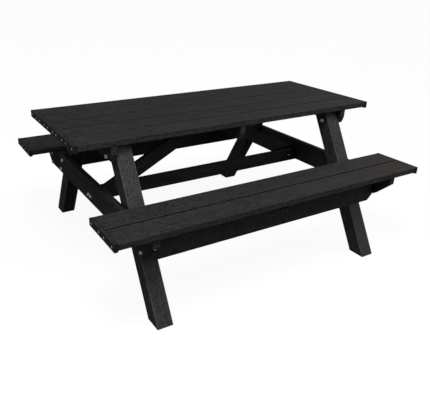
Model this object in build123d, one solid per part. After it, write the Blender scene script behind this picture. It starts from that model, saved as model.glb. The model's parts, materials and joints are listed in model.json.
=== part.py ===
from build123d import *
import math
import os

# Picnic table of plastic lumber: a planked top and two planked benches on four leaning posts.
# Millimetres. X runs along the table, Y from the front bench (-) to the rear bench (+), Z up.
# The origin is on the ground below the middle of the top.

# Overall sizes
table_length = 1800.0
table_height = 780.0
seat_height = 506.0
bench_centre = 614.0  # from the table's middle line to the middle of each bench
end_overhang = 203.0  # from the table's end to the outer face of the posts

# Planks of the top and of the benches
plank_width = 128.0
plank_thickness = 30.0
plank_gap = 9.0
top_plank_count = 5
bench_plank_count = 2

# End boards that close the plank ends
end_board_thickness = 18.0
end_board_depth = 36.0

# Frame boards, all standing on edge
board_thickness = 30.0
batten_depth = 75.0
batten_inset = 3.0  # from the front and rear edges of the top
batten_cut_run = 12.0
batten_cut_rise = 35.0
beam_depth = 125.0
beam_inset = 6.5  # from the outer edges of the benches
beam_cut_run = 94.0
beam_cut_rise = 87.0
beam_void_radius = 4.0  # blind hole left by moulding in the middle of each end
beam_void_depth = 12.0
rail_depth = 163.0
rail_offset = 625.0  # from the table's middle line to the middle of each bench rail
rail_cut = 32.0
cleat_depth = 50.0
cleat_inset = 21.5  # from the edges of its bench
cleat_cut_run = 35.0
cleat_cut_rise = 44.0
stretcher_depth = 75.0

# Braces from the stretcher's ends up to the middle batten
brace_depth = 75.0
brace_top_drop = 68.0  # lower edge below the planks, where it meets the batten
brace_foot_run = 42.0  # level cut at the foot, measured from the cross beam

# Leaning posts
post_size = 82.0
post_foot_offset = 672.0  # from the table's middle line to the post's centre, on the ground
post_lean = 29.8  # degrees from upright

# Rounded arrises of the moulded lumber
lumber_arris = 2.0
post_arris = 2.5

# Through bolts, with hexagon heads and nuts
bolt_radius = 5.0
bolt_flats = 17.0
bolt_head_height = 6.4
nut_height = 8.0
washer_radius = 10.0
washer_thickness = 2.0
thread_stub = 3.0
beam_bolt_drops = (37.0, 101.0)  # below the seat planks
batten_bolt_drop = 62.0  # below the top planks

# Coach screws into board ends, with hexagon heads
coach_radius = 4.0
coach_flats = 13.0
coach_head_height = 5.5
coach_washer_radius = 9.0
coach_washer_thickness = 1.6
coach_grip = 50.0  # length inside the board end
rail_screw_drops = (55.0, 115.0)  # below the seat planks
stretcher_screw_rise = 36.0  # above the cross beam's lower edge
brace_top_screw_drop = 34.0  # below the top planks
brace_top_screw_edge = 13.0  # from the brace's lapped face

# Wood screws
screw_radius = 2.5
screw_head_radius = 5.0
countersink_depth = 2.6
end_screw_length = 60.0
end_screw_spacing = 82.0  # between the two screws in each plank
plank_screw_through = 50.0  # length in the board below the plank
plank_screw_grip = 20.0  # length in the plank
pan_head_height = 3.5
counterbore_radius = 7.0
brace_screw_radius = 3.0
brace_screw_inset = 64.0  # from the cross beam's inner face
brace_screw_rise = 38.0  # above the stretcher's lower edge
brace_screw_grip = 22.0  # length in the brace
socket_flats = 4.0
socket_depth = 1.8

# Clearances
bolt_hole_clearance = 0.4
thread_clearance = 0.05
screw_clearance = 0.15
lap_clearance = 0.5
tip_clearance = 1.0
end_screw_sink = 0.2

# Levels and faces worked out from the sizes above
half_length = table_length / 2
plank_end = half_length - end_board_thickness
top_underside = table_height - plank_thickness
seat_underside = seat_height - plank_thickness
post_outer = half_length - end_overhang
post_inner = post_outer - post_size
beam_outer = post_outer + board_thickness
beam_middle = post_outer + board_thickness / 2
beam_bottom = seat_underside - beam_depth
stretcher_middle = beam_bottom + stretcher_depth / 2
plank_pitch = plank_width + plank_gap
top_half_width = (top_plank_count * plank_pitch - plank_gap) / 2
bench_half_width = (bench_plank_count * plank_pitch - plank_gap) / 2
batten_half_length = top_half_width - batten_inset
beam_half_length = bench_centre + bench_half_width - beam_inset
cleat_half_length = bench_half_width - cleat_inset
lean_slope = math.tan(math.radians(post_lean))
sides = (("left", -1), ("right", 1))
benches = (("front", -1), ("rear", 1))

nodes = {}


# ---------------------------------------------------------------- shared shapes

def lumber(length, width, depth, arris=lumber_arris):
    """A straight board along X, centred on the origin, with rounded long edges."""
    board = Box(length, width, depth)
    return fillet(board.edges().filter_by(Axis.X), arris)


def plank(length):
    """A plank along X with all its edges rounded, the ends too."""
    board = Box(length, plank_width, plank_thickness)
    return fillet(board.edges(), lumber_arris)


def corner_wedge(run, rise, thickness):
    """Cutter for the lower corner of a board end that stands at x = 0 with its lower edge at z = 0."""
    outline = Polyline((-2 * run, -rise), (run, 2 * rise), (run, -rise), close=True)
    face = Plane.XZ * make_face(outline)
    return extrude(face, amount=thickness, both=True)


def cut_lower_corners(board, half, bottom, run, rise):
    """Takes the same sloping cut off the lower corner at both ends of a board along X."""
    wedge = Pos(half, 0, bottom) * corner_wedge(run, rise, 2 * board_thickness)
    return board - wedge - mirror(wedge, about=Plane.YZ)


def across(board):
    """Turns a board along X so that it runs along Y."""
    return Rot(0, 0, 90) * board


def rod(start, end, radius):
    """A round rod from one point to another."""
    axis = Vector(*end) - Vector(*start)
    seat = Plane(origin=start, z_dir=axis)
    return seat * Cylinder(radius, axis.length, align=(Align.CENTER, Align.CENTER, Align.MIN))


def faced(solid, point, outward):
    """Stands a fastener, made with its head towards +Z, on a face with this outward direction."""
    return Plane(origin=point, z_dir=outward) * solid


def plank_centres(count):
    """Middle lines of planks laid side by side, measured from the middle of the set."""
    return [(i - (count - 1) / 2) * plank_pitch for i in range(count)]


def screw_pair(centre):
    """The two screw lines of a plank with this middle line."""
    return [centre - end_screw_spacing / 2, centre + end_screw_spacing / 2]


def post_centre(z):
    """Distance of a post's centre from the table's middle line at height z."""
    return post_foot_offset - lean_slope * z


# ---------------------------------------------------------------- fasteners, head towards +Z

def hexagon(flats, height):
    """A hexagon head with its upper corners turned off, standing on z = 0."""
    body = extrude(RegularPolygon(flats / 2, 6, major_radius=False), amount=height)
    top = 0.475 * flats
    flare = height / math.tan(math.radians(30))
    turned = Cone(top + flare, top, height, align=(Align.CENTER, Align.CENTER, Align.MIN))
    return body & turned


def shank(radius, length):
    """A shank below z = 0 with a chamfered tip."""
    body = Cylinder(radius, length, align=(Align.CENTER, Align.CENTER, Align.MAX))
    return chamfer(body.edges().group_by(Axis.Z)[0], radius / 4)


def ring(outer, inner, thickness):
    """A washer standing on z = 0."""
    seat = (Align.CENTER, Align.CENTER, Align.MIN)
    return Cylinder(outer, thickness, align=seat) - Cylinder(inner, thickness, align=seat)


def hex_bolt(radius, flats, head_height, length):
    """A hexagon-headed bolt or coach screw with the head's seat at z = 0."""
    return hexagon(flats, head_height) + shank(radius, length)


def hex_nut():
    """A nut standing on z = 0."""
    thread = rod((0, 0, -1), (0, 0, nut_height + 1), bolt_radius + thread_clearance)
    return hexagon(bolt_flats, nut_height) - thread


def socket():
    """The hexagon drive recess below z = 0."""
    return extrude(RegularPolygon(socket_flats / 2, 6, major_radius=False), amount=-socket_depth)


def countersunk_screw(radius, head_radius, length):
    """A flat-headed screw with its head's face at z = 0."""
    seat = (Align.CENTER, Align.CENTER, Align.MAX)
    head = Cone(radius, head_radius, countersink_depth, align=seat)
    return head + shank(radius, length) - socket()


def countersunk_hole(radius, head_radius, length):
    """Cutter for a flat-headed screw whose face lies just under z = 0."""
    seat = (Align.CENTER, Align.CENTER, Align.MAX)
    head = Cone(radius, head_radius, countersink_depth, align=seat)
    mouth = Cylinder(head_radius, 1, align=(Align.CENTER, Align.CENTER, Align.MIN))
    return head + mouth + rod((0, 0, 0), (0, 0, -length), radius)


def pan_screw():
    """A pan-headed screw with the head's seat at z = 0."""
    head = Cylinder(screw_head_radius, pan_head_height, align=(Align.CENTER, Align.CENTER, Align.MIN))
    head = fillet(head.edges().group_by(Axis.Z)[-1], pan_head_height / 2)
    drive = Pos(0, 0, pan_head_height) * socket()
    return head + shank(screw_radius, plank_screw_through + plank_screw_grip) - drive


# ---------------------------------------------------------------- where the fasteners go

def end_screw_seats(centre_y, count, level):
    """Seats of the end-board screws of one planked surface, as (point, outward) pairs."""
    seats = []
    for _, sx in sides:
        for middle in plank_centres(count):
            for y in screw_pair(middle):
                seats.append(((sx * (half_length - end_screw_sink), centre_y + y, level), (sx, 0, 0)))
    return seats


def top_end_seats():
    return end_screw_seats(0, top_plank_count, table_height - end_board_depth / 2)


def bench_end_seats(sy):
    return end_screw_seats(sy * bench_centre, bench_plank_count, seat_height - end_board_depth / 2)


def top_plank_seats():
    """Screws up through the three battens into the planks."""
    level = top_underside - plank_screw_through
    lines = [y for middle in plank_centres(top_plank_count) for y in screw_pair(middle)]
    return [(x, y, level) for x in (-beam_middle, 0, beam_middle) for y in lines]


def bench_plank_seats(sy):
    """Screws up through the cross beams, and through the cleat, into the seat planks."""
    level = seat_underside - plank_screw_through
    middles = [sy * bench_centre + y for y in plank_centres(bench_plank_count)]
    lines = [y for middle in middles for y in screw_pair(middle)]
    at_beams = [(x, y, level) for x in (-beam_middle, beam_middle) for y in lines]
    return at_beams + [(0, y, level) for y in middles]


def post_bolt_points(drops_from_seat, drops_from_top):
    """Crossings of the bolts with the posts' middle lines, as (y, z) pairs on the rear side."""
    levels = [seat_underside - drop for drop in drops_from_seat]
    levels += [top_underside - drop for drop in drops_from_top]
    return [(post_centre(z), z) for z in levels]


def coach_seats():
    """Seats of the coach screws through the cross beams into the boards that butt on them."""
    seats = []
    for _, sx in sides:
        for _, sy in benches:
            for drop in rail_screw_drops:
                seats.append(((sx * beam_outer, sy * rail_offset, seat_underside - drop), (sx, 0, 0)))
        for y in (0, sx * board_thickness):
            seats.append(((sx * beam_outer, y, beam_bottom + stretcher_screw_rise), (sx, 0, 0)))
    return seats


def brace_top_seats():
    """Seats of the coach screws through the middle batten into the braces' upper ends."""
    level = top_underside - brace_top_screw_drop
    y = board_thickness / 2 + brace_top_screw_edge
    return [((-sx * board_thickness / 2, sx * y, level), (-sx, 0, 0)) for _, sx in sides]


def brace_foot_seats():
    """Seats of the screws through the stretcher into the braces' feet."""
    x = post_outer - brace_screw_inset
    level = beam_bottom + brace_screw_rise
    return [((sx * x, -sx * board_thickness / 2, level), (0, -sx, 0)) for _, sx in sides]


# ---------------------------------------------------------------- holes, cut from the same seats

def plank_screw_holes(seats):
    """Screw holes with deep counterbores from below."""
    depth = plank_screw_through + plank_screw_grip + tip_clearance
    holes = []
    for x, y, z in seats:
        holes.append(rod((x, y, z), (x, y, z + depth), screw_radius + screw_clearance))
        holes.append(rod((x, y, z - beam_depth), (x, y, z), counterbore_radius))
    return holes


def end_screw_holes(seats):
    length = end_screw_length + tip_clearance
    hole = countersunk_hole(screw_radius + screw_clearance, screw_head_radius + screw_clearance, length)
    return [faced(hole, point, outward) for point, outward in seats]


def coach_holes(seats):
    depth = board_thickness + coach_grip + tip_clearance
    hole = rod((0, 0, tip_clearance), (0, 0, -depth), coach_radius + screw_clearance)
    return [faced(hole, point, outward) for point, outward in seats]


def brace_foot_holes():
    length = board_thickness + brace_screw_grip + tip_clearance
    hole = rod((0, 0, tip_clearance), (0, 0, -length), brace_screw_radius + screw_clearance)
    return [faced(hole, point, outward) for point, outward in brace_foot_seats()]


def post_bolt_holes(points):
    """Holes through the posts and the board on their outer faces, all at one end of the table."""
    radius = bolt_radius + bolt_hole_clearance
    lines = [(sy * y, z) for y, z in points for _, sy in benches]
    return [rod((post_inner - 1, y, z), (beam_outer + 1, y, z), radius) for y, z in lines]


def drilled(board, holes):
    """Cuts those holes that reach the board."""
    box = board.bounding_box()
    for hole in holes:
        span = hole.bounding_box()
        apart = (
            span.min.X > box.max.X or span.max.X < box.min.X
            or span.min.Y > box.max.Y or span.max.Y < box.min.Y
            or span.min.Z > box.max.Z or span.max.Z < box.min.Z
        )
        if not apart:
            board = board - hole
    return board


# ---------------------------------------------------------------- top

def make_top():
    middle = table_height - plank_thickness / 2
    holes = plank_screw_holes(top_plank_seats()) + end_screw_holes(top_end_seats())
    for i, y in enumerate(plank_centres(top_plank_count)):
        nodes[f"top_plank_{i + 1}"] = drilled(Pos(0, y, middle) * plank(2 * plank_end), holes)
    for name, sx in sides:
        nodes[f"top_end_board_{name}"] = end_board(sx, 0, 2 * top_half_width, table_height, holes)


def end_board(sx, y, width, level, holes):
    """A board across the plank ends, with its upper edge level with the planks."""
    board = across(lumber(width, end_board_thickness, end_board_depth))
    x = sx * (half_length - end_board_thickness / 2)
    return drilled(Pos(x, y, level - end_board_depth / 2) * board, holes)


def make_battens():
    bolt_holes = post_bolt_holes(post_bolt_points((), (batten_bolt_drop,)))
    bolt_holes += [mirror(hole, about=Plane.YZ) for hole in bolt_holes]
    holes = bolt_holes + plank_screw_holes(top_plank_seats()) + coach_holes(brace_top_seats())
    board = lumber(2 * batten_half_length, board_thickness, batten_depth)
    board = cut_lower_corners(board, batten_half_length, -batten_depth / 2, batten_cut_run, batten_cut_rise)
    for name, x in (("left", -beam_middle), ("middle", 0), ("right", beam_middle)):
        placed = Pos(x, 0, top_underside - batten_depth / 2) * across(board)
        nodes[f"top_batten_{name}"] = drilled(placed, holes)


# ---------------------------------------------------------------- posts

def make_posts():
    holes = post_bolt_holes(post_bolt_points(beam_bolt_drops, (batten_bolt_drop,)))
    reach = 2 * table_height
    log = lumber(reach, post_size, post_size, post_arris)
    middle = top_underside / 2
    centre = Pos(post_inner + post_size / 2, post_centre(middle), middle)
    leaning = centre * Rot(post_lean - 90, 0, 0) * across(log)
    rear = leaning & (centre * Box(reach, reach, top_underside))
    front = mirror(rear, about=Plane.XZ)
    for side, post in (("rear", rear), ("front", front)):
        right = drilled(post, holes)
        nodes[f"leg_{side}_right"] = right
        nodes[f"leg_{side}_left"] = mirror(right, about=Plane.YZ)


# ---------------------------------------------------------------- cross beams, stretcher, braces

def make_beams():
    bolt_holes = post_bolt_holes(post_bolt_points(beam_bolt_drops, ()))
    bolt_holes += [mirror(hole, about=Plane.YZ) for hole in bolt_holes]
    seats = bench_plank_seats(-1) + bench_plank_seats(1)
    holes = bolt_holes + plank_screw_holes(seats) + coach_holes(coach_seats())
    board = lumber(2 * beam_half_length, board_thickness, beam_depth)
    board = cut_lower_corners(board, beam_half_length, -beam_depth / 2, beam_cut_run, beam_cut_rise)
    level = beam_cut_rise / 2  # middle of the upright end above the sloping cut
    for end in (-beam_half_length, beam_half_length):
        inward = end - math.copysign(beam_void_depth, end)
        board = board - rod((inward, 0, level), (2 * end - inward, 0, level), beam_void_radius)
    for name, sx in sides:
        placed = Pos(sx * beam_middle, 0, seat_underside - beam_depth / 2) * across(board)
        nodes[f"bench_beam_{name}"] = drilled(placed, holes)


def make_stretcher():
    holes = coach_holes(coach_seats()) + brace_foot_holes()
    board = Pos(0, 0, stretcher_middle) * lumber(2 * post_outer, board_thickness, stretcher_depth)
    nodes["centre_stretcher"] = drilled(board, holes)


def make_braces():
    """Each brace laps one face of the stretcher and is cut to fit the batten, planks and cross beam."""
    batten_face = board_thickness / 2
    upper = Vector(batten_face, 0, top_underside - brace_top_drop)
    lower = Vector(post_outer - brace_foot_run, 0, beam_bottom)
    run = lower.X - upper.X
    drop = upper.Z - lower.Z
    angle = math.degrees(math.atan2(drop, run))
    middle = (upper + lower) * 0.5
    strip = lumber(2 * half_length, board_thickness, brace_depth)
    strip = Pos(middle.X, board_thickness, middle.Z) * Rot(0, angle, 0) * Pos(0, 0, brace_depth / 2) * strip
    length = post_outer - batten_face
    height = top_underside - beam_bottom
    room = Box(length, 4 * board_thickness, height, align=(Align.MIN, Align.CENTER, Align.MIN))
    right = strip & (Pos(batten_face, 0, beam_bottom) * room)
    holes = coach_holes(coach_seats()) + coach_holes(brace_top_seats()) + brace_foot_holes()
    nodes["brace_right"] = drilled(right, holes)
    nodes["brace_left"] = drilled(Rot(0, 0, 180) * right, holes)


# ---------------------------------------------------------------- benches

def make_bench(name, sy):
    holes = plank_screw_holes(bench_plank_seats(sy)) + end_screw_holes(bench_end_seats(sy))
    middle = seat_height - plank_thickness / 2
    for place, y in zip(("inner", "outer"), plank_centres(bench_plank_count)):
        board = Pos(0, sy * (bench_centre + y), middle) * plank(2 * plank_end)
        nodes[f"{name}_bench_plank_{place}"] = drilled(board, holes)
    for end, sx in sides:
        board = end_board(sx, sy * bench_centre, 2 * bench_half_width, seat_height, holes)
        nodes[f"{name}_bench_end_board_{end}"] = board
    nodes[f"{name}_bench_rail"] = bench_rail(sy)
    nodes[f"{name}_bench_cleat"] = bench_cleat(sy, holes)


def bench_rail(sy):
    """Rail on edge between the cross beams, notched at mid-length for the cleat."""
    board = lumber(2 * post_outer, board_thickness, rail_depth)
    board = cut_lower_corners(board, post_outer, -rail_depth / 2, rail_cut, rail_cut)
    board = Pos(0, sy * rail_offset, seat_underside - rail_depth / 2) * board
    width = board_thickness + 2 * lap_clearance
    depth = cleat_depth + lap_clearance
    notch = Box(width, 2 * board_thickness, 2 * depth)
    board = board - Pos(0, sy * rail_offset, seat_underside) * notch
    return drilled(board, coach_holes(coach_seats()))


def bench_cleat(sy, holes):
    """Short board across the rail that carries the planks at mid-length."""
    board = lumber(2 * cleat_half_length, board_thickness, cleat_depth)
    board = cut_lower_corners(board, cleat_half_length, -cleat_depth / 2, cleat_cut_run, cleat_cut_rise)
    return drilled(Pos(0, sy * bench_centre, seat_underside - cleat_depth / 2) * across(board), holes)


# ---------------------------------------------------------------- fastener groups

def make_post_bolts():
    """Bolts through the posts: head and washer outside, washer and nut inside."""
    groups = {"leg_beam_bolts": (beam_bolt_drops, ()), "leg_batten_bolts": ((), (batten_bolt_drop,))}
    stack = beam_outer - post_inner + 2 * washer_thickness + nut_height + thread_stub
    bolt = hex_bolt(bolt_radius, bolt_flats, bolt_head_height, stack)
    washer = ring(washer_radius, bolt_radius + bolt_hole_clearance, washer_thickness)
    nut = hex_nut()
    washers = []
    nuts = []
    for node, (seat_drops, top_drops) in groups.items():
        bolts = []
        for y, z in post_bolt_points(seat_drops, top_drops):
            for sx, sy in ((-1, -1), (-1, 1), (1, -1), (1, 1)):
                outer = (sx * beam_outer, sy * y, z)
                inner = (sx * post_inner, sy * y, z)
                bolts.append(faced(bolt, (sx * (beam_outer + washer_thickness), sy * y, z), (sx, 0, 0)))
                washers.append(faced(washer, outer, (sx, 0, 0)))
                washers.append(faced(washer, inner, (-sx, 0, 0)))
                nuts.append(faced(nut, (sx * (post_inner - washer_thickness), sy * y, z), (-sx, 0, 0)))
        nodes[node] = Compound(bolts)
    nodes["leg_bolt_washers"] = Compound(washers)
    nodes["leg_bolt_nuts"] = Compound(nuts)


def make_coach_screws():
    """Coach screws with washers, through the cross beams and through the middle batten."""
    length = board_thickness + coach_grip + coach_washer_thickness
    screw = Pos(0, 0, coach_washer_thickness) * hex_bolt(coach_radius, coach_flats, coach_head_height, length)
    washer = ring(coach_washer_radius, coach_radius + screw_clearance, coach_washer_thickness)
    groups = {
        "bench_rail_screws": [seat for seat in coach_seats() if abs(seat[0][1]) > board_thickness],
        "stretcher_screws": [seat for seat in coach_seats() if abs(seat[0][1]) <= board_thickness],
        "brace_top_screws": brace_top_seats(),
    }
    washers = []
    for node, seats in groups.items():
        nodes[node] = Compound([faced(screw, point, outward) for point, outward in seats])
        washers += [faced(washer, point, outward) for point, outward in seats]
    nodes["coach_screw_washers"] = Compound(washers)


def make_brace_foot_screws():
    length = board_thickness + brace_screw_grip
    screw = hex_bolt(brace_screw_radius, 2 * screw_head_radius, pan_head_height, length)
    screws = [faced(screw, point, outward) for point, outward in brace_foot_seats()]
    nodes["brace_foot_screws"] = Compound(screws)


def make_wood_screws():
    end_screw = countersunk_screw(screw_radius, screw_head_radius, end_screw_length)
    pan = pan_screw()
    bench_ends = bench_end_seats(-1) + bench_end_seats(1)
    for node, seats in (("top_end_screws", top_end_seats()), ("bench_end_screws", bench_ends)):
        nodes[node] = Compound([faced(end_screw, point, outward) for point, outward in seats])
    bench_seats = bench_plank_seats(-1) + bench_plank_seats(1)
    for node, seats in (("top_plank_screws", top_plank_seats()), ("bench_plank_screws", bench_seats)):
        nodes[node] = Compound([faced(pan, seat, (0, 0, -1)) for seat in seats])


# ---------------------------------------------------------------- build and write

make_top()
make_battens()
make_posts()
make_beams()
make_stretcher()
make_braces()
for bench_name, bench_side in benches:
    make_bench(bench_name, bench_side)
make_post_bolts()
make_coach_screws()
make_brace_foot_screws()
make_wood_screws()

os.makedirs("parts", exist_ok=True)
for node_name, shape in nodes.items():
    export_step(shape, f"parts/{node_name}.step")
    print(node_name, len(shape.solids()), round(shape.volume))
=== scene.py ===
import json
import math
import random

import bpy
from mathutils import Matrix, Vector


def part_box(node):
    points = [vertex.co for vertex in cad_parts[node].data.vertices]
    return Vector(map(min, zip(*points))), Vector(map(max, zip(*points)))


# Studio picture of a picnic table in charcoal plastic lumber. Metres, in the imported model's frame:
# X along the table, -Y towards the front bench, Z up, the ground at zero.

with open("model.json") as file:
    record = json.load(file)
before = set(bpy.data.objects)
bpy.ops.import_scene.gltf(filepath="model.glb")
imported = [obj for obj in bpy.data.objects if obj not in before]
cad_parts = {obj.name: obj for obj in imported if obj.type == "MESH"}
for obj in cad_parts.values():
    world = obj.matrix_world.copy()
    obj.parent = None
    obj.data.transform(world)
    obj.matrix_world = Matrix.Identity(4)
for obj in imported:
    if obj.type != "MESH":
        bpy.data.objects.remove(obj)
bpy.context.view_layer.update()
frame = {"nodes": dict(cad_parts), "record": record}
random.seed(14)


# ---------------------------------------------------------------- node graphs

class Graph:
    """A node tree with short calls for the nodes that repeat."""

    def __init__(self, owner):
        owner.use_nodes = True
        self.tree = owner.node_tree

    def add(self, kind, inputs=(), **settings):
        node = self.tree.nodes.new(kind)
        for key, value in settings.items():
            setattr(node, key, value)
        for key, value in dict(inputs).items():
            self.feed(node, key, value)
        return node

    def feed(self, node, key, value):
        socket = node.inputs[key]
        if isinstance(value, bpy.types.NodeSocket):
            self.tree.links.new(value, socket)
        else:
            socket.default_value = value

    def shade(self, **values):
        """Sets inputs of the Principled shader, with _ for a space in their names."""
        for key, value in values.items():
            self.feed(self.tree.nodes["Principled BSDF"], key.replace("_", " "), value)

    def noise(self, vector, scale, detail=3.0, roughness=0.55):
        inputs = {"Vector": vector, "Scale": scale, "Detail": detail, "Roughness": roughness}
        return self.add("ShaderNodeTexNoise", inputs).outputs["Fac"]

    def stretched(self, vector, along, across):
        inputs = {0: vector, 1: (along, across, across)}
        return self.add("ShaderNodeVectorMath", inputs, operation="MULTIPLY").outputs[0]

    def spread(self, value, low, high, to_low=0.0, to_high=1.0):
        """The value's range low..high mapped to to_low..to_high, and clamped."""
        inputs = {"Value": value, "From Min": low, "From Max": high, "To Min": to_low, "To Max": to_high}
        return self.add("ShaderNodeMapRange", inputs).outputs[0]

    def math(self, operation, *values):
        return self.add("ShaderNodeMath", dict(enumerate(values)), operation=operation).outputs[0]

    def dot(self, first, second):
        inputs = {0: first, 1: second}
        return self.add("ShaderNodeVectorMath", inputs, operation="DOT_PRODUCT").outputs["Value"]

    def blend(self, factor, first, second, kind="MIX"):
        # 0, 6 and 7 are the factor and the two colours of a Mix node, and 2 is its colour output
        inputs = {0: factor, 6: first, 7: second}
        return self.add("ShaderNodeMix", inputs, data_type="RGBA", blend_type=kind).outputs[2]

    def bump(self, height, strength, distance):
        inputs = {"Height": height, "Strength": strength, "Distance": distance}
        return self.add("ShaderNodeBump", inputs).outputs[0]

    def true_normal(self):
        return self.add("ShaderNodeNewGeometry").outputs["True Normal"]

    def painted_crevice_shade(self, distance):
        """Mask of the painted crevice shade: 1 where another surface closes in within this distance, 0 in
        the open.
        """
        inputs = {"Distance": distance}
        openness = self.add("ShaderNodeAmbientOcclusion", inputs, samples=8).outputs["AO"]
        return self.spread(openness, low=0.96, high=0.55)

    def edges(self, radius):
        """1 at an edge, falling to 0 within this radius of it."""
        rounded = self.add("ShaderNodeBevel", {"Radius": radius}, samples=6).outputs[0]
        return self.spread(self.dot(rounded, self.true_normal()), low=0.995, high=0.93)


def grey(value, warmth=0.0):
    """A near-neutral colour, warmer for a positive warmth."""
    return (value * (1 + warmth), value, value * (1 - warmth), 1)


# ---------------------------------------------------------------- plastic lumber

# Noise patterns of the lumber: scale along the board, scale across it, detail and roughness
PATTERNS = {
    "streak": (22, 130, 3.0, 0.65),
    "broad": (1.6, 40, 2.0, 0.55),
    "mottle": (100, 125, 3.0, 0.7),
    "speckle": (170, 210, 2.0, 0.8),
}
NOISE_RANGE = (0.38, 0.62)  # where most of a noise's values lie
TONE_RANGE = (0.22, 0.78)  # of the patterns' sum, from the dark colour to the light one

# The brown tint multiplies the colour. It sets in right of the middle and is full at the end.
BROWN_TINT = (1.36, 1.07, 0.93, 1)
BROWN_TINT_START = 0.1
BROWN_TINT_END = 0.9

# Painted shade: the colour goes towards near black in crevices and the gaps between boards, standing in
# for the shade that falls there.
PAINTED_SHADE_REACH = 0.024  # a surface nearer than this makes a crevice
PAINTED_SHADE_SHARE = 0.95  # of the crevice's colour, where it is deepest
PAINTED_SHADE_COLOUR = grey(0.001)
BUMP_HEIGHT = 0.0006
PLASTIC_IOR = 1.48

# Looks of the boards
# dark, light: colours of the faces, mixed by the patterns
# core, fleck_rub_and_sheen: colour of the sawn ends, and of the flecks and the arrises, where it is partly
# real rubbing and partly a painted highlight
# fleck, rub_and_sheen: how strongly the flecks, and the arrises' rubbing and painted highlight, show
# streak, broad, mottle, speckle, clouds: each pattern's share of the mix
# edge: width of the arrises' rubbing and painted highlight
# rough: range of roughness
# streak_relief, mottle_relief: how much they stand out, where the speckle has 1
# bump: strength of all the relief
PLANK = {
    "dark": grey(0.007), "light": grey(0.040), "core": grey(0.024), "fleck_rub_and_sheen": grey(0.070), "fleck": 0.20,
    "streak": 0.25, "broad": 0.07, "mottle": 0.28, "speckle": 0.35, "clouds": 0.05,
    "rub_and_sheen": 0.12, "edge": 0.004, "rough": (0.52, 0.70), "gloss": 0.30,
    "streak_relief": 1.2, "mottle_relief": 0.8, "bump": 0.40,
}
BOARD = {
    "dark": grey(0.006), "light": grey(0.036), "core": grey(0.050), "fleck_rub_and_sheen": grey(0.065), "fleck": 0.12,
    "streak": 0.20, "broad": 0.10, "mottle": 0.30, "speckle": 0.35, "clouds": 0.05,
    "rub_and_sheen": 0.20, "edge": 0.004, "rough": (0.55, 0.72), "gloss": 0.28,
    "streak_relief": 0.8, "mottle_relief": 0.9, "bump": 0.40,
}
END_BOARD = dict(BOARD, core=grey(0.009))
POST = {
    "dark": grey(0.003), "light": grey(0.048), "core": grey(0.026), "fleck_rub_and_sheen": grey(0.150), "fleck": 0.45,
    "streak": 0.05, "broad": 0.05, "mottle": 0.45, "speckle": 0.40, "clouds": 0.05,
    "rub_and_sheen": 0.80, "edge": 0.007, "rough": (0.55, 0.75), "gloss": 0.35,
    "streak_relief": 0.3, "mottle_relief": 1.4, "bump": 0.70,
}

POST_FOOT_LENGTH = 0.0945  # a leaning post's level cut, along Y
BRACE_RUN = 0.64  # how far a brace runs out from the middle
BRACE_DROP = 0.33  # how far it comes down on the way


def grain_frame(direction):
    """Rotation that turns the board's length into the pattern's X axis."""
    along = Vector(direction)
    side = Vector((0, 0, 1)).cross(along).normalized()
    return Matrix((along, side, along.cross(side))).to_euler()


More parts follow.
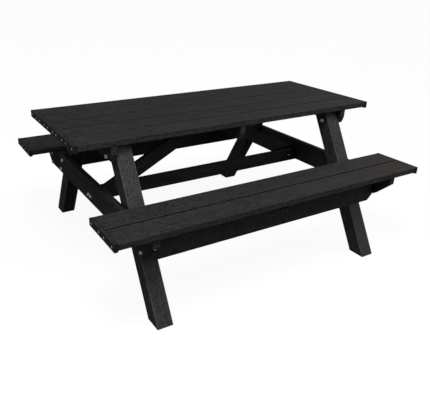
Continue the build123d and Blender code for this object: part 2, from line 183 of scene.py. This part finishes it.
def lumber_material(name, look, direction, brown_tint_share):
    """Moulded recycled plastic: streaks along the board, mottling, flecks and a brown tint towards the
    right end, then sawn ends, arrises lightened partly by rubbing and partly as a painted highlight, and
    painted crevice shade."""
    material = bpy.data.materials.new(name)
    g = Graph(material)
    place = g.add("ShaderNodeTexCoord").outputs["Object"]
    offset = [random.uniform(-20, 20) for _ in range(3)]
    mapping = {"Vector": place, "Location": offset, "Rotation": grain_frame(direction)}
    board = g.add("ShaderNodeMapping", mapping).outputs[0]

    patterns = {}
    for pattern, (along, across, detail, roughness) in PATTERNS.items():
        patterns[pattern] = g.noise(g.stretched(board, along, across), 1.0, detail, roughness)
    patterns["clouds"] = clouds = g.noise(board, scale=3.0, detail=2.0)
    tone = 0.0
    for pattern, value in patterns.items():
        tone = g.math("ADD", tone, g.math("MULTIPLY", g.spread(value, *NOISE_RANGE), look[pattern]))
    colour = g.blend(g.spread(tone, *TONE_RANGE), look["dark"], look["light"])

    flecks = g.spread(g.noise(board, scale=190.0, detail=2.0, roughness=0.6), low=0.60, high=0.72)
    colour = g.blend(g.math("MULTIPLY", flecks, look["fleck"]), colour, look["fleck_rub_and_sheen"])

    towards_right = g.spread(g.add("ShaderNodeSeparateXYZ", {0: place}).outputs["X"], BROWN_TINT_START, BROWN_TINT_END)
    uneven = g.spread(clouds, low=0.35, high=0.65, to_low=0.5, to_high=1.0)
    tint_mask = g.math("MULTIPLY", g.math("MULTIPLY", towards_right, uneven), brown_tint_share)
    colour = g.blend(tint_mask, colour, BROWN_TINT, "MULTIPLY")

    end_cut = g.spread(g.math("ABSOLUTE", g.dot(g.true_normal(), direction)), low=0.25, high=0.45)
    core = g.spread(g.noise(board, scale=160.0, detail=3.0, roughness=0.7), low=0.35, high=0.65)
    colour = g.blend(end_cut, colour, g.blend(core, look["dark"], look["core"]))

    # Arrises lightened: partly real rubbing of the corners, partly a painted highlight where the rounded
    # corners catch the light.
    rub_and_sheen_breakup = g.spread(g.noise(board, scale=35.0, detail=4.0, roughness=0.7), low=0.35, high=0.62)
    rub_and_sheen = g.math("MULTIPLY", g.edges(look["edge"]), g.math("ADD", rub_and_sheen_breakup, 0.35))
    colour = g.blend(g.math("MULTIPLY", rub_and_sheen, look["rub_and_sheen"]), colour, look["fleck_rub_and_sheen"])

    # Painted shade in crevices and the gaps between boards.
    colour = g.blend(g.math("MULTIPLY", g.painted_crevice_shade(PAINTED_SHADE_REACH), PAINTED_SHADE_SHARE), colour, PAINTED_SHADE_COLOUR)

    smoothest, roughest = look["rough"]
    grain = g.math("ADD", patterns["mottle"], patterns["streak"])
    relief = g.math("MULTIPLY", patterns["streak"], look["streak_relief"])
    relief = g.math("ADD", relief, patterns["speckle"])
    relief = g.math("ADD", relief, g.math("MULTIPLY", patterns["mottle"], look["mottle_relief"]))
    g.shade(
        Base_Color=colour,
        Roughness=g.spread(grain, low=0.7, high=1.3, to_low=smoothest, to_high=roughest),
        Normal=g.bump(relief, look["bump"], BUMP_HEIGHT),
        IOR=PLASTIC_IOR,
        Specular_IOR_Level=look["gloss"],
    )
    return material


def board_look(node):
    if node.startswith("leg_"):
        return POST
    if "end_board" in node:
        return END_BOARD
    return PLANK if "plank" in node else BOARD


def board_brown_tint(node):
    """How much a board's right-hand end is tinted towards brown."""
    if node.startswith(("front_bench_plank", "front_bench_end")):
        return 1.0
    return 0.5 if node == "top_plank_1" else 0.1


def board_direction(node):
    """The way a board runs, as a unit vector. A post's follows from the proportions of its box."""
    low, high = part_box(node)
    size = Vector(high) - Vector(low)
    if node.startswith("leg_"):
        lean = math.copysign(1, low[1] + high[1])
        return Vector((0, -lean * (size.y - POST_FOOT_LENGTH), size.z)).normalized()
    if node.startswith("brace_"):
        side = math.copysign(1, low[0] + high[0])
        return Vector((side * BRACE_RUN, 0, -BRACE_DROP)).normalized()
    return Vector((1, 0, 0) if size.x > size.y else (0, 1, 0))


# ---------------------------------------------------------------- stainless fasteners

def steel_material():
    """Stainless steel, with fine scratches and smudges."""
    material = bpy.data.materials.new("stainless_fasteners")
    g = Graph(material)
    place = g.add("ShaderNodeTexCoord").outputs["Object"]
    scratches = g.noise(place, scale=900.0, detail=3.0, roughness=0.7)
    smudges = g.noise(place, scale=110.0)
    uneven = g.math("ADD", scratches, smudges)
    g.shade(
        Base_Color=g.blend(g.spread(smudges, low=0.3, high=0.7), grey(0.78), grey(1.0, warmth=0.01)),
        Metallic=0.15,
        Roughness=g.spread(uneven, low=0.7, high=1.3, to_low=0.35, to_high=0.55),
        Normal=g.bump(scratches, strength=0.25, distance=0.0002),
    )
    return material


def dress(node, material):
    """Gives all of a CAD node's slots this material."""
    for slot in frame["nodes"][node].material_slots:
        slot.material = material


def dress_all():
    steel = steel_material()
    for part in frame["record"]["subparts"]:
        node = part["node"]
        if part["material_slot"] == "stainless_steel":
            dress(node, steel)
        else:
            look, direction, brown_tint_share = board_look(node), board_direction(node), board_brown_tint(node)
            dress(node, lumber_material("lumber_" + node, look, direction, brown_tint_share))


# ---------------------------------------------------------------- studio

FLOOR_REACH = 60.0  # from the middle to each side

# Soft light from all round, as broad lobes: the direction each comes from, and its strength
LOBES = [
    ((0, 0, 1), 0.03),
    ((0, -0.82, 0.57), 0.67),
    ((-0.82, 0, 0.57), 0.82),
    ((0.82, 0, 0.57), 0.85),
    ((0.58, -0.58, 0.57), 0.95),
    ((-0.97, 0, -0.25), 0.31),
    ((0, 0.97, -0.25), 0.04),
    ((0, 0, -1), 0.01),
]
LOBE_SHARPNESS = 6

CAMERA_PLACE = (-1.5240, -2.2895, 1.4637)
CAMERA_AZIMUTH = -30.32
CAMERA_ELEVATION = 24.49
CAMERA_ROLL = 1.02
SENSOR_WIDTH = 36.0
PICTURE_WIDTH = 430  # in pixels
FOCAL_LENGTH = 496.86  # in pixels


def make_floor():
    """A pale, glowing floor that takes shadows. The table neither gets light from it nor mirrors it."""
    mesh = bpy.data.meshes.new("floor")
    signs = ((-1, -1), (1, -1), (1, 1), (-1, 1))
    mesh.from_pydata([(x * FLOOR_REACH, y * FLOOR_REACH, 0) for x, y in signs], [], [(0, 1, 2, 3)])
    floor = bpy.data.objects.new("floor", mesh)
    bpy.context.scene.collection.objects.link(floor)
    floor.visible_diffuse = False
    floor.visible_glossy = False
    material = bpy.data.materials.new("pale_floor")
    g = Graph(material)
    g.shade(Base_Color=grey(0.12), Roughness=1.0, Specular_IOR_Level=0.0)
    g.shade(Emission_Color=grey(1.0), Emission_Strength=0.92)
    mesh.materials.append(material)


def make_world():
    """The soft light, and a plain white backdrop that only the camera sees."""
    world = bpy.data.worlds.new("studio")
    bpy.context.scene.world = world
    g = Graph(world)
    direction = g.add("ShaderNodeTexCoord").outputs["Generated"]
    total = 0.0
    for axis, strength in LOBES:
        facing = g.math("MAXIMUM", g.dot(direction, Vector(axis).normalized()), 0.0)
        lobe = g.math("POWER", facing, LOBE_SHARPNESS)
        total = g.math("MULTIPLY_ADD", lobe, strength, total)
    light = g.tree.nodes["Background"]
    g.feed(light, "Color", total)
    backdrop = g.add("ShaderNodeBackground", {"Color": grey(1.0)})
    seen = g.add("ShaderNodeLightPath").outputs["Is Camera Ray"]
    chosen = g.add("ShaderNodeMixShader", {0: seen, 1: light.outputs[0], 2: backdrop.outputs[0]})
    g.feed(g.tree.nodes["World Output"], 0, chosen.outputs[0])


def area_light(name, place, target, size, power):
    light = bpy.data.lights.new(name, "AREA")
    light.shape = "DISK"
    light.size = size
    light.energy = power
    lamp = bpy.data.objects.new(name, light)
    lamp.location = place
    lamp.rotation_euler = (Vector(target) - Vector(place)).to_track_quat("-Z", "Y").to_euler()
    bpy.context.scene.collection.objects.link(lamp)


def make_camera():
    azimuth = math.radians(CAMERA_AZIMUTH)
    elevation = math.radians(CAMERA_ELEVATION)
    roll = math.radians(CAMERA_ROLL)
    right = Vector((math.cos(azimuth), math.sin(azimuth), 0))
    outward = Vector((math.sin(azimuth), -math.cos(azimuth), 0))
    back = outward * math.cos(elevation) + Vector((0, 0, math.sin(elevation)))
    up = back.cross(right)
    turned_right = right * math.cos(roll) + up * math.sin(roll)
    turned_up = up * math.cos(roll) - right * math.sin(roll)
    turn = Matrix((turned_right, turned_up, back)).transposed()
    data = bpy.data.cameras.new("camera")
    data.sensor_width = SENSOR_WIDTH
    data.lens = FOCAL_LENGTH * SENSOR_WIDTH / PICTURE_WIDTH
    data.shift_x = 0.0868
    data.shift_y = -0.0159
    data.clip_end = 200.0
    camera = bpy.data.objects.new("camera", data)
    camera.matrix_world = Matrix.Translation(CAMERA_PLACE) @ turn.to_4x4()
    bpy.context.scene.collection.objects.link(camera)
    bpy.context.scene.camera = camera


dress_all()
make_floor()
make_world()
area_light("key", place=(-1.3, -1.9, 4.2), target=(0, 0, 0.5), size=1.6, power=84.0)
make_camera()
bpy.context.scene.view_settings.view_transform = "Standard"
